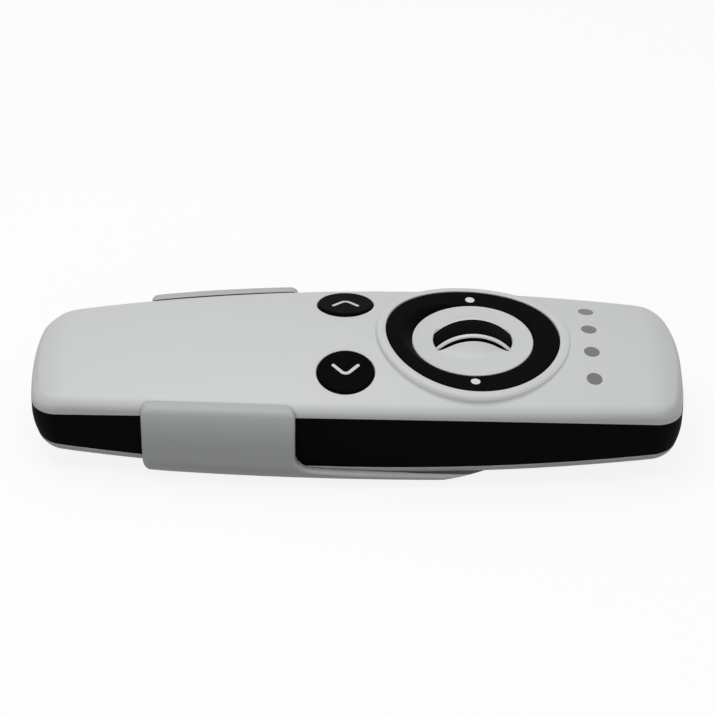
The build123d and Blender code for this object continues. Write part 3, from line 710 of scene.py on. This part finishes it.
def rounded_corner(y, r, turn_y, radius):
    """Points round the outer corner of a turned profile at (y, r), from its side face to its
    rim."""
    return [(y - turn_y * radius * (1 - math.cos(t)), r - radius * (1 - math.sin(t)))
            for t in quarter(5)]


def make_wheel():
    """Thumb wheel: black tyre with its core, and a white flange ring on each side of the tyre. The
    core is the tyre's black rubber, and its black face in the recess inside the flanges is also
    painted shade for the deep gap there.
    """
    core = Skin()
    right = rounded_corner(tyre_half, wheel_r, 1, tyre_round)
    left = rounded_corner(-tyre_half, wheel_r, -1, tyre_round)
    # The core's face inside the flange bores is black: painted shade for the gap beside the wheel.
    core_half, core_r = tyre_half + core_proud, flange_bore - core_gap
    profile = [(core_half, core_bore), (core_half, core_r), (tyre_half, core_r), *right, *left[::-1],
               (-tyre_half, core_r), (-core_half, core_r), (-core_half, core_bore), (core_half, core_bore)]
    core.rows(turned(profile), flip=True)
    core.piece("wheel_tyre_skin", "wheel", "tyre_rubber", "wheel_tyre")
    rings = Skin()
    for side in (-1, 1):
        outer_y, inner_y = side * flange_half, side * tyre_half
        outer = rounded_corner(outer_y, flange_r, side, flange_round)
        profile = [(outer_y, flange_bore), *outer, (inner_y, flange_r), (inner_y, flange_bore),
                   (outer_y, flange_bore)]
        rings.rows(turned(profile), flip=side > 0)
    rings.piece("wheel_flange_rings", "wheel", "wheel_white", "wheel_hub")


def plate_height(x, y):
    """Centre plate: level, with a cone about the wheel's axis on each side of the slot that fades
    into it."""
    reach = cowl_r - np.maximum(np.abs(y) - slot_half, 0) * cowl_slope
    cone = wheel_z + np.sqrt(np.maximum(reach ** 2 - (x - dial_x) ** 2, 0)) * np.sign(reach)
    return softer(cone, plate_z + 0 * cone, cowl_blend)


def slot_outline():
    """Plan points and outward directions of the wheel's slot: a circle cut off at each side. At its
    four corners the directions fan out from one point."""
    corner = math.asin(slot_half / slot_r)
    half = slot_r * math.cos(corner)
    arc, fan = np.linspace(-corner, corner, 25), np.linspace(corner, math.pi / 2, 6)[1:]
    straight = np.linspace(half, -half, 49)[1:-1]
    arc_way = np.stack([np.cos(arc), np.sin(arc)], -1)
    fan_way = np.stack([np.cos(fan), np.sin(fan)], -1)
    spot = np.tile([half, slot_half], (len(fan), 1))
    edge = np.column_stack([straight, np.full(len(straight), slot_half)])
    points = np.concatenate([slot_r * arc_way, spot, edge, spot * [-1, 1]])
    out = np.concatenate([arc_way, fan_way, np.tile([0.0, 1.0], (len(edge), 1)), fan_way[::-1] * [-1, 1]])
    return np.concatenate([points, -points]) + (dial_x, 0), np.concatenate([out, -out])


def make_centre_plate():
    """White plate round the wheel with its two rounded cowls, a soft rim and a soft lip to the
    slot."""
    skin = Skin()
    turn = circle_angles(240)
    circle = np.stack([np.cos(turn), np.sin(turn)], -1)
    slot, out = slot_outline()

    def edge_rows(line, way, sign):
        rows = []
        for t in quarter(6):
            plan = line - sign * plate_lip * (1 - math.sin(t)) * way
            height = plate_height(plan[:, 0], plan[:, 1]) - plate_lip * (1 - math.cos(t))
            rows.append(np.column_stack([plan, height]))
        rows.append(np.column_stack([line, np.full(len(line), plate_low)]))
        rows.append(np.column_stack([rows[0][:, :2], np.full(len(line), plate_low)]))
        rows = np.stack(rows)
        skin.rows(rows, first_row_normals(rows, plate_height), flip=sign > 0)
        return rows[0]

    rim = edge_rows(plate_r * circle + (dial_x, 0), circle, 1)
    hole = edge_rows(slot, out, -1)
    plan, triangles = fill(rim[:, :2], [hole[:, :2]], np.zeros((0, 2)), spacing=0.5, gap=0.2)
    given = np.concatenate([rim, hole])
    sheet = np.column_stack([plan, plate_height(plan[:, 0], plan[:, 1])])
    sheet[:len(given)] = given
    skin.add(sheet, height_normal(plate_height, plan[:, 0], plan[:, 1]), triangles)
    skin.add(np.column_stack([plan, np.full(len(plan), plate_low)]), None, triangles[:, ::-1])
    skin.piece("centre_plate", "handset", "white_abs", "dial_centre")


def ring_height(x, r):
    """Top of the rocking ring: the collar's saddle, and inside it a bevel of 45 degrees up from the
    centre plate, whichever is lower."""
    return -softer(ring_below - saddle(x), ring_bore - r - plate_z, ring_blend)


def make_ring():
    """Black rocking ring in rows from outside in: wall, quarter-round rim, ring_height, bore and
    underside."""
    skin = Skin()
    turn = circle_angles(300)

    def row(r, drop):
        x = dial_x + r * np.cos(turn)
        return np.stack([x, r * np.sin(turn), ring_height(x, r) - drop], -1)

    def level_row(r, z):
        return np.stack([dial_x + r * np.cos(turn), r * np.sin(turn), z + 0 * turn], -1)

    rows = [level_row(ring_r, ring_low)]
    for t in quarter(7):
        rows.append(row(ring_r - ring_rim * (1 - math.cos(t)), ring_rim * (1 - math.sin(t))))
    rows += [row(r, 0.0) for r in np.linspace(ring_r - ring_rim, ring_bore + 0.1, 26)[1:]]
    rows += [level_row(ring_bore, plate_z - 0.2), level_row(ring_bore, ring_low), rows[0]]
    skin.rows(np.stack(rows))
    skin.piece("ring_skin", "ring", "black_abs", "dial_ring")


def make_key(word, side):
    """Round black key that stands a little above the crown: a cylinder square to it with a
    quarter-round rim."""
    centre, along, across, axis = key_axes(side)
    turn = circle_angles(144)

    def ring_at(r, h):
        plan = r * np.cos(turn)[:, None] * along + r * np.sin(turn)[:, None] * across
        return centre + plan + h * axis

    rows = [ring_at(key_r, -key_deep)]
    for t in quarter(8):
        drop = key_rounding * (1 - math.sin(t))
        rows.append(ring_at(key_r - key_rounding * (1 - math.cos(t)), key_rise - drop))
    rows += [ring_at(r, key_rise) for r in (5.5, 3.5, 1.5, 0.0)]
    rows += [ring_at(r, -key_deep) for r in (0.0, 3.5)]
    rows.append(rows[0])
    skin = Skin()
    skin.rows(np.stack(rows), flip=side < 0)
    skin.piece(word + "_key_skin", word + "_key", "black_abs", word + "_button")


def arrow_line():
    """Middle line of an arrow: two strokes that meet in an arc of radius 1.25. Its ends narrow in
    half circles. Returns points, half widths and directions."""
    lean = math.atan2(2 * arrow_y + 0.25, arrow_x)
    reach = arrow_x / math.cos(lean) - arrow_bend * math.tan(lean)
    swing = np.linspace(-lean, lean, 13)
    arc = arrow_bend * np.stack([np.sin(swing), 1 / math.cos(lean) - np.cos(swing)], -1)
    run = np.linspace(reach, 0, 8)[:-1, None]
    start = arc[0] + run * np.array([-math.cos(lean), math.sin(lean)])
    line = np.concatenate([start, arc, (start * [-1, 1])[::-1]])
    way = unit(np.gradient(line, axis=0))
    cap = quarter(8)[:0:-1]
    head = line[0] - arrow_half * np.sin(cap)[:, None] * way[0]
    tail = line[-1] + arrow_half * np.sin(cap[::-1])[:, None] * way[-1]
    half = arrow_half * np.concatenate([np.cos(cap), np.ones(len(line)), np.cos(cap[::-1])])
    way = np.concatenate([np.repeat(way[:1], len(head), 0), way, np.repeat(way[-1:], len(tail), 0)])
    return np.concatenate([head, line, tail]) - (0, arrow_y), half, way


def make_arrow(word, side):
    """Arrow on a key: its line widened both ways, a flat top just above the key and walls down into
    it."""
    centre, along, across, axis = key_axes(side)
    line, half, way = arrow_line()
    beside = np.stack([-way[:, 1], way[:, 0]], -1)
    top, low = key_rise + arrow_proud, key_rise - 0.3
    profile = ((-1, low), (-1, top), (-0.5, top), (0, top), (0.5, top), (1, top), (1, low), (0, low))
    grid = []
    for share, height in profile:
        plan = line + share * half[:, None] * beside
        grid.append(centre + plan[:, :1] * along - side * plan[:, 1:] * across + height * axis)
    skin = Skin()
    skin.rows(np.stack(grid, 1), flip=side < 0)
    skin.piece(word + "_arrow", word + "_key", "dot_white", word + "_mark", arrow_print)


def merged_copy(node):
    """Editable copy of a node's loose triangles, with equal corners merged."""
    shape = bmesh.new()
    shape.from_mesh(frame["nodes"][node].data)
    bmesh.ops.remove_doubles(shape, verts=shape.verts, dist=2e-6)
    return shape


def mesh_of(shape, name):
    """Mesh of an editable copy, and its points in millimetres."""
    mesh = bpy.data.meshes.new(name)
    shape.to_mesh(mesh)
    shape.free()
    points = np.zeros(len(mesh.vertices) * 3)
    mesh.vertices.foreach_get("co", points)
    return mesh, points.reshape(-1, 3) / MM


def move_points(mesh, points):
    """Gives a mesh new points, in millimetres."""
    mesh.vertices.foreach_set("co", (points * MM).ravel())
    mesh.update()


def make_smooth(name, body, node):
    """Merged copy of a grey moulding with its ends bowed, shaded smooth but for its edges, in its
    place."""
    mesh, points = mesh_of(merged_copy(node), name)
    move_points(mesh, bow_ends(points))
    shade_smooth(mesh, 17)
    put_in_place(mesh, name, body, "grey_abs", node)


def face_lies_in(z):
    """How far the outer face of a holder arm lies in from its straight draft: two powers of the
    height."""
    high = np.clip((z - arm_bow_z) / (arm_tip_z - arm_bow_z), 0, 1)
    low = np.clip((arm_bow_z - z) / arm_bow_z, 0, 1)
    return tip_in * high ** 2.1 + foot_in * low ** 2


def arm_normals(mesh, x, y, z, share):
    """Corner normals. On the arms' outer faces the lean grows with the height, by 30 degrees in
    all, and by 54 more over the last 2.2 mm below the tip. Elsewhere they are none, so that Blender
    works them out."""
    corner = np.zeros(len(mesh.loops) * 3)
    mesh.corner_normals.foreach_get("vector", corner)
    corner = corner.reshape(-1, 3)
    vertex = np.zeros(len(mesh.loops), np.int32)
    mesh.loops.foreach_get("vertex_index", vertex)
    x, y, z, share = x[vertex], y[vertex], z[vertex], share[vertex]
    faces_out = corner[:, 1] * np.sign(y) > 0.15
    outer = (x < arm_end + 1) & (z > arm_bow_z) & (share > 0.05) & faces_out
    tip = arm_tip_z - (x - arm_end) ** 2 / 1200
    high = np.clip((z - arm_bow_z) / (tip - arm_bow_z), 0, 1)
    over = np.clip((z - tip + over_deep) / over_deep, 0, 1)
    lean = -draft + tip_lean * high ** 1.2 + over_lean * over * over
    across = np.sqrt(np.maximum(1 - corner[:, 0] ** 2, 0))
    bent = np.stack([corner[:, 0], np.sign(y) * across * np.cos(lean), across * np.sin(lean)], -1)
    return np.where(outer[:, None], bent, 0.0)


def make_holder():
    """Grey holder: a merged copy of the node, cut into strips. The arms' outer faces then lie in by
    face_lies_in, and their rear ends move in by a fading share of an ellipse, which rounds the
    lower corner."""
    shape = merged_copy("wall_holder")
    cuts = [((0, 0, 1), z) for z in (0.1, 0.3, 0.6, 1.0, 1.5, *np.arange(2.1, arm_tip_z, 0.7))]
    cuts += [((1, 0, 0), x) for x in (-49.7, -48.7, -47.5, *np.arange(-46.0, -4.0, 2.0))]
    for way, place in cuts:
        bmesh.ops.bisect_plane(shape, geom=[*shape.verts, *shape.edges, *shape.faces], dist=1e-7,
                               plane_co=Vector(way) * place * MM, plane_no=way)
    mesh, points = mesh_of(shape, "holder_skin")
    x, y, z = points.T
    flank = np.sqrt(side_r ** 2 - (x - side_x) ** 2) - side_y + (z - level) * math.tan(draft)
    share = np.clip((np.abs(y) - flank - arm_gap) / arm_wall, 0, 1)
    y = y - np.sign(y) * face_lies_in(z) * share * eased((bow_end_x - x) / bow_fade)
    below = np.clip(1 - z / heel_high, 0, 1)
    near_end = np.clip(1 - (x - arm_start) / heel_long, 0, 1) ** 2
    x = x + near_end * (arm_inset + heel_deep * (1 - np.sqrt(1 - below ** 2)))
    move_points(mesh, np.stack([x, y, z], -1))
    shade_smooth(mesh, 32)
    mesh.normals_split_custom_set(arm_normals(mesh, x, y, z, share).tolist())
    put_in_place(mesh, "holder_skin", "holder", "grey_abs", "wall_holder")


make_top_shell()
make_band()
make_centre_plate()
make_wheel()
make_ring()
for key_word, key_side in (("previous", -1), ("next", 1)):
    make_key(key_word, key_side)
    make_arrow(key_word, key_side)
make_holder()
make_smooth("back_shell", "handset", "rear_shell")
make_smooth("door_cover", "door", "battery_door")


def put_aimed(name, data, place, target, roll=0.0):
    """Camera or lamp at a point, looking at another, turned about its own axis by roll degrees."""
    thing = bpy.data.objects.new(name, data)
    bpy.context.scene.collection.objects.link(thing)
    look = (Vector(target) - Vector(place)).to_track_quat("-Z", "Y")
    thing.rotation_mode = "QUATERNION"
    thing.rotation_quaternion = look @ Matrix.Rotation(math.radians(roll), 3, "Z").to_quaternion()
    thing.location = place
    return thing


def soft_light(name, place, target, size, power):
    """Rectangular area lamp that looks at a point."""
    data = bpy.data.lights.new(name, "AREA")
    data.shape = "RECTANGLE"
    data.size, data.size_y = size
    data.energy = power
    put_aimed(name, data, place, target)


# The camera stands where the photograph was taken from, found by fitting it to the windows, dots
# and keys.
lens = bpy.data.cameras.new("photo_camera")
lens.lens, lens.sensor_width = 130.6, 36.0
lens.clip_start, lens.clip_end = 0.01, 20.0
bpy.context.scene.camera = put_aimed("photo_camera", lens, (-0.007617, -0.502307, 0.374387),
                                     (-0.0001, 0.0, 0.01987), roll=1.01)

soft_light("overhead", (-0.06, -0.01, 0.38), (0.0, 0.0, 0.0), (0.32, 0.26), 0.66)
soft_light("front", (0.0, -0.8, 0.3), (0.0, 0.0, 0.0), (0.6, 0.4), 1.2)


def straight_rays(tree):
    """1 for rays from the camera, off gloss and through glass, which see the white background; else
    0."""
    rays = add_node(tree, "ShaderNodeLightPath").outputs
    total = rays["Is Camera Ray"]
    for kind in ("Is Glossy Ray", "Is Transmission Ray"):
        larger = add_node(tree, "ShaderNodeMath", {"operation": "MAXIMUM"}, i0=total, i1=rays[kind])
        total = larger.outputs[0]
    return total


def make_world():
    """White where it is seen, and at half strength as light on the object."""
    world = bpy.data.worlds.new("studio")
    bpy.context.scene.world = world
    world.use_nodes = True
    tree = world.node_tree
    tree.nodes.clear()
    white = linear("#FFFFFF")
    lit = add_node(tree, "ShaderNodeBackground", Color=white, Strength=0.5)
    seen = add_node(tree, "ShaderNodeBackground", Color=white, Strength=1.0)
    both = add_node(tree, "ShaderNodeMixShader", i0=straight_rays(tree), i1=lit.outputs[0],
                    i2=seen.outputs[0])
    add_node(tree, "ShaderNodeOutputWorld", Surface=both.outputs[0])


def make_floor():
    """Pale paper half a millimetre under the holder. What is seen of it is mostly white of its own,
    so that it shows only a soft shadow. It bounces light as a dark grey, and it is clear from
    below."""
    mesh = bpy.data.meshes.new("floor")
    mesh.from_pydata([(-3, -3, 0), (3, -3, 0), (3, 3, 0), (-3, 3, 0)], [], [(0, 1, 2, 3)])
    floor = bpy.data.objects.new("floor", mesh)
    bpy.context.scene.collection.objects.link(floor)
    floor.location = (0, 0, -0.0005)
    paper = bpy.data.materials.new("floor_paper")
    paper.use_nodes = True
    tree = paper.node_tree
    tree.nodes.clear()
    pale = add_node(tree, "ShaderNodeBsdfDiffuse", Color=linear("#FCFCFC"))
    white = add_node(tree, "ShaderNodeEmission", Color=linear("#FFFFFF"), Strength=1.0)
    seen = add_node(tree, "ShaderNodeMixShader", i0=0.86, i1=pale.outputs[0], i2=white.outputs[0])
    bounce = add_node(tree, "ShaderNodeBsdfDiffuse", Color=linear("#464646"))
    above = add_node(tree, "ShaderNodeMixShader", i0=straight_rays(tree), i1=bounce.outputs[0],
                     i2=seen.outputs[0])
    from_below = add_node(tree, "ShaderNodeNewGeometry").outputs["Backfacing"]
    clear = add_node(tree, "ShaderNodeBsdfTransparent")
    both = add_node(tree, "ShaderNodeMixShader", i0=from_below, i1=above.outputs[0], i2=clear.outputs[0])
    add_node(tree, "ShaderNodeOutputMaterial", Surface=both.outputs[0])
    mesh.materials.append(paper)


make_world()
make_floor()
bpy.context.scene.view_settings.view_transform = "Standard"
